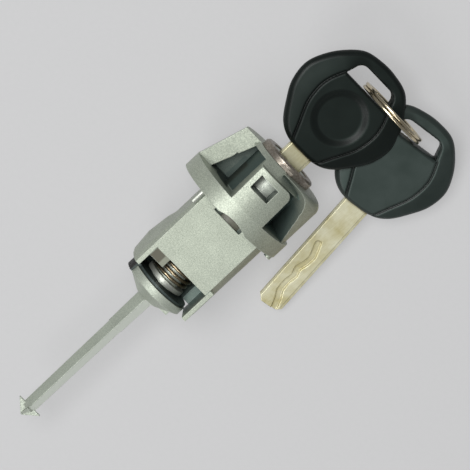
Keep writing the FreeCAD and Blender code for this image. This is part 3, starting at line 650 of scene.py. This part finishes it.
def head_shell(name, dish_above, dish_below):
    """A head's closed shell: two faces that share the points of the rim."""
    points, rim_gap = head_grid()
    centre = np.array([DISH_CENTRE])
    mesh = bmesh.new()
    rim = []
    for side, dish in ((1, dish_above), (-1, dish_below)):
        height = side * face_height(points, rim_gap, dish)
        middle = side * face_height(centre, np.array([RIM_ROUND]), dish)[0]
        top = mesh.verts.new(Vector((*DISH_CENTRE, middle)) * MM)
        own = len(points) - len(rim)
        verts = [mesh.verts.new(Vector((x, y, z)) * MM)
                 for (x, y), z in zip(points[:own], height[:own])] + rim
        rim = verts[-RAYS:]
        for ray in range(RAYS):
            after = (ray + 1) % RAYS
            mesh.faces.new([top, verts[ray], verts[after]][::side])
            for low in range(0, (RINGS - 1) * RAYS, RAYS):
                high = low + RAYS
                quad = [verts[low + ray], verts[high + ray], verts[high + after], verts[low + after]]
                mesh.faces.new(quad[::side])
    return finish_mesh(mesh, name)


def loop_cutter(name):
    """A prism through the head, in the loop's outline."""
    mesh = bmesh.new()
    outline = rounded(LOOP, LOOP_CORNERS)
    low, high = ([mesh.verts.new((x * MM, y * MM, z * MM)) for x, y in outline]
                 for z in (-LOOP_CUTTER_HALF, LOOP_CUTTER_HALF))
    mesh.faces.new(low)
    mesh.faces.new(high[::-1])
    for i in range(len(outline)):
        after = (i + 1) % len(outline)
        mesh.faces.new([low[i], high[i], high[after], low[after]])
    bmesh.ops.recalc_face_normals(mesh, faces=mesh.faces)
    return finish_mesh(mesh, name)


def key_head(name, node, blade, material, dish_above, dish_below):
    """One moulded head with its loop cut out."""
    shell = new_object(name + "_shell", head_shell(name + "_shell", dish_above, dish_below))
    cutter = new_object(name + "_loop", loop_cutter(name + "_loop"))
    cut = shell.modifiers.new("loop", "BOOLEAN")
    cut.operation = "DIFFERENCE"
    cut.solver = "EXACT"
    cut.object = cutter
    bpy.context.view_layer.update()
    evaluated = shell.evaluated_get(bpy.context.evaluated_depsgraph_get())
    shape = bpy.data.meshes.new_from_object(evaluated)
    bpy.data.objects.remove(cutter)
    bpy.data.objects.remove(shell)
    stand_in(name, node, shape, key_placement(blade), material)


# Key blades. The track is a run of (distance from the tip as a share of the blade's length,
# offset as a share of its width).

TRACK = [(-0.023, 0.29), (0.089, 0.09), (0.152, -0.07), (0.227, -0.09), (0.307, -0.02),
         (0.364, -0.11), (0.432, 0.0), (0.495, 0.035), (0.55, -0.055), (0.607, -0.155)]
BLADE_HALF = 4.5
BLADE_TANG = 9.0
BLADE_THICK_HALF = 1.2
TRACK_FLOOR = 0.92
TRACK_RIM = 1.22
TRACK_DEPTH = 0.7
STRIP_WIDTH = 1.0
STRIP_DROP = 0.05
STRIP_STEP = 0.32
TIP_CORNER = 1.5
EDGE_WIDTH = 0.12
EDGE_DROP = 0.1
BLADE_COLUMNS = 61
BLADE_ROWS = 301


def blade_height(points, widths, side):
    """The height of a blade's face above its middle plane."""
    line = np.array([(-side * across * BLADE_HALF * 2, BLADE_LENGTH * (1 - along))
                     for along, across in TRACK])
    gap = distance_to_line(points, line)
    height = BLADE_THICK_HALF - TRACK_DEPTH * (1 - smoothstep((gap - TRACK_FLOOR)
                                                              / (TRACK_RIM - TRACK_FLOOR)))
    strip = np.clip(1 - (points[:, 0] + widths) / STRIP_WIDTH, 0, 1)
    polished = BLADE_THICK_HALF - STRIP_DROP * strip - STRIP_STEP * (strip > 0)
    edge = np.clip(1 - (widths - np.abs(points[:, 0])) / EDGE_WIDTH, 0, 1)
    return np.minimum(height, polished) - EDGE_DROP * edge


def key_blade(name, node):
    """One blade as a closed mesh, milled with its track on both faces."""
    along = np.linspace(-BLADE_TANG, BLADE_LENGTH, BLADE_ROWS)
    width = BLADE_HALF - np.maximum(0, along - BLADE_LENGTH + TIP_CORNER)
    across = np.linspace(-1, 1, BLADE_COLUMNS)
    points = np.stack([across[None, :] * width[:, None],
                       np.repeat(along[:, None], BLADE_COLUMNS, axis=1)], axis=2).reshape(-1, 2)
    widths = np.repeat(width, BLADE_COLUMNS)
    verts = []
    for side in (1, -1):
        height = side * blade_height(points, widths, side)
        verts += [(x * MM, y * MM, z * MM) for (x, y), z in zip(points, height)]

    count = len(points)
    faces = []
    for row in range(BLADE_ROWS - 1):
        for column in range(BLADE_COLUMNS - 1):
            a = row * BLADE_COLUMNS + column
            quad = (a, a + 1, a + 1 + BLADE_COLUMNS, a + BLADE_COLUMNS)
            faces.append(quad)
            faces.append(tuple(count + corner for corner in reversed(quad)))
    rim = (list(range(BLADE_COLUMNS))
           + [(row + 1) * BLADE_COLUMNS - 1 for row in range(1, BLADE_ROWS)]
           + [count - 1 - column for column in range(1, BLADE_COLUMNS)]
           + [row * BLADE_COLUMNS for row in range(BLADE_ROWS - 2, 0, -1)])
    for here, after in zip(rim, rim[1:] + rim[:1]):
        faces.append((after, here, count + here, count + after))
    shape = bpy.data.meshes.new(name)
    shape.from_pydata(verts, [], faces)
    stand_in(name, node, shape, key_placement(node), KEY_METAL)


# Split ring

RING_MIDDLE = 11.7
WIRE_HALF_DEEP = 0.8
WIRE_HALF_WIDE = 0.525
WIRE_SQUARENESS = 0.62
TURN_OFFSET = 0.575
TURN_STEPS = 200
SECTION_STEPS = 24
STEP_START = -93.0
STEP_SWEEP = 6.0
STEP_STEPS = 6


def wire_section():
    """The flattened wire's section: (radial, sideways) points."""
    out = []
    for i in range(SECTION_STEPS):
        angle = 2 * math.pi * i / SECTION_STEPS
        c, s = math.cos(angle), math.sin(angle)
        out.append((math.copysign(abs(c) ** WIRE_SQUARENESS, c) * WIRE_HALF_DEEP,
                    math.copysign(abs(s) ** WIRE_SQUARENESS, s) * WIRE_HALF_WIDE))
    return out


def split_ring(name, node):
    """Two turns of flattened wire side by side, and the wire's step between them."""
    section = wire_section()
    verts, faces = [], []
    for offset, start, sweep, steps in ((-TURN_OFFSET, 0.0, 360.0, TURN_STEPS),
                                        (TURN_OFFSET, 0.0, 360.0, TURN_STEPS),
                                        (0.0, STEP_START, STEP_SWEEP, STEP_STEPS)):
        first = len(verts)
        whole = sweep == 360.0
        loops = steps if whole else steps + 1
        for step in range(loops):
            angle = math.radians(start + sweep * step / steps)
            for deep, wide in section:
                reach = (RING_MIDDLE + deep) * MM
                verts.append((reach * math.cos(angle), (offset + wide) * MM,
                              reach * math.sin(angle)))
        for step in range(steps):
            low = first + step * SECTION_STEPS
            high = first + (step + 1) % loops * SECTION_STEPS
            for i in range(SECTION_STEPS):
                j = (i + 1) % SECTION_STEPS
                faces.append((low + i, low + j, high + j, high + i))
        if not whole:
            faces.append(tuple(range(first + SECTION_STEPS - 1, first - 1, -1)))
            faces.append(tuple(range(len(verts) - SECTION_STEPS, len(verts))))
    shape = bpy.data.meshes.new(name)
    shape.from_pydata(verts, [], faces)
    low_corner, high_corner = (Vector(corner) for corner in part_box(node))
    middle = Matrix.Translation((low_corner + high_corner) / 2)
    stand_in(name, node, shape, middle, RING_STEEL)


key_head("key_head_moulding", "key_head", "key_blade", KEY_PLASTIC,
         dish_above=True, dish_below=False)
key_head("spare_head_moulding", "spare_key_head", "spare_key_blade", SPARE_PLASTIC,
         dish_above=False, dish_below=True)
key_blade("key_blade_milled", "key_blade")
key_blade("spare_blade_milled", "spare_key_blade")
split_ring("split_ring_wire", "split_ring")


# Floor, light and camera

FLOOR_SIZE = 4.0
FLOOR_GAP = 0.0004
FLOOR_GLOW = 0.6


def floor(low):
    """A plain pale floor just below the object."""
    bpy.ops.mesh.primitive_plane_add(size=FLOOR_SIZE, location=(0, 0, low - FLOOR_GAP))
    plane = bpy.context.object
    plane.name = "floor"
    material, tree, shader = new_material("floor")
    speck = noise(tree, 1.5)
    tree.links.new(ramp(tree, speck, (0.0, (0.55, 0.55, 0.56)), (1.0, (0.60, 0.60, 0.61))),
                   shader.inputs["Base Color"])
    shader.inputs["Roughness"].default_value = 0.9

    # Rays from the camera and from glossy surfaces see a paler floor with a fainter shadow.
    glow = add(tree, "ShaderNodeEmission", Color=(0.61, 0.61, 0.61, 1.0))
    path = tree.nodes.new("ShaderNodeLightPath")
    seen = path.outputs["Is Camera Ray"]
    for ray in ("Is Glossy Ray", "Is Transmission Ray"):
        seen = calculate(tree, "MAXIMUM", seen, path.outputs[ray])
    blend = tree.nodes.new("ShaderNodeMixShader")
    tree.links.new(calculate(tree, "MULTIPLY", seen, FLOOR_GLOW), blend.inputs[0])
    tree.links.new(shader.outputs["BSDF"], blend.inputs[1])
    tree.links.new(glow.outputs["Emission"], blend.inputs[2])
    tree.links.new(blend.outputs["Shader"], tree.nodes["Material Output"].inputs["Surface"])
    plane.data.materials.append(material)


def area_light(name, place, target, size, power):
    """A round lamp at a place, turned to its target."""
    data = bpy.data.lights.new(name, "AREA")
    data.shape = "DISK"
    data.size = size
    data.energy = power
    light = new_object(name, data)
    light.location = place
    light.rotation_euler = (Vector(target) - Vector(place)).to_track_quat("-Z", "Y").to_euler()


ROLL = math.radians(7.7)
TILT = math.radians(8.0)
AXIS_IN_PICTURE = math.radians(43.1)
TARGET = Vector((-5.0, 4.3, 0.0)) * MM

# The lens is as much longer than 85 mm as the camera stands further off than 0.347 m.
DISTANCE = 0.60
NEAR = 0.347
LENS_AT_NEAR = 85.0


def camera():
    """The photo's view: from above, rolled and tilted, with the keys at the upper right."""
    back = Vector((math.sin(ROLL) * math.cos(TILT), -math.sin(TILT), math.cos(ROLL) * math.cos(TILT)))
    key_way = Vector((0, -1, 0))
    key_way = (key_way - back * key_way.dot(back)).normalized()
    left_way = back.cross(key_way)
    right = key_way * math.cos(AXIS_IN_PICTURE) - left_way * math.sin(AXIS_IN_PICTURE)
    up = back.cross(right)
    data = bpy.data.cameras.new("camera")
    data.lens = LENS_AT_NEAR * DISTANCE / NEAR
    data.sensor_width = 36.0
    data.clip_start = 0.01
    thing = new_object("camera", data)
    turn = Matrix((right, up, back)).transposed().to_4x4()
    thing.matrix_world = Matrix.Translation(TARGET + back * DISTANCE) @ turn
    bpy.context.scene.camera = thing


def world():
    """A dim, slightly blue sky on all sides."""
    sky = bpy.data.worlds.new("world")
    bpy.context.scene.world = sky
    sky.use_nodes = True
    background = sky.node_tree.nodes["Background"]
    background.inputs["Color"].default_value = (0.95, 0.97, 1.0, 1.0)
    background.inputs["Strength"].default_value = 0.24


floor(CAD_BOX[0][2])
area_light("key_light", place=(0.25, -0.03, 0.775), target=(0, 0.01, 0), size=0.45, power=4.8)
area_light("sheen_light", place=(-0.10, 0.52, 0.62), target=(0, 0.03, 0), size=0.4, power=2.1)
world()
camera()
bpy.context.scene.view_settings.view_transform = "Standard"
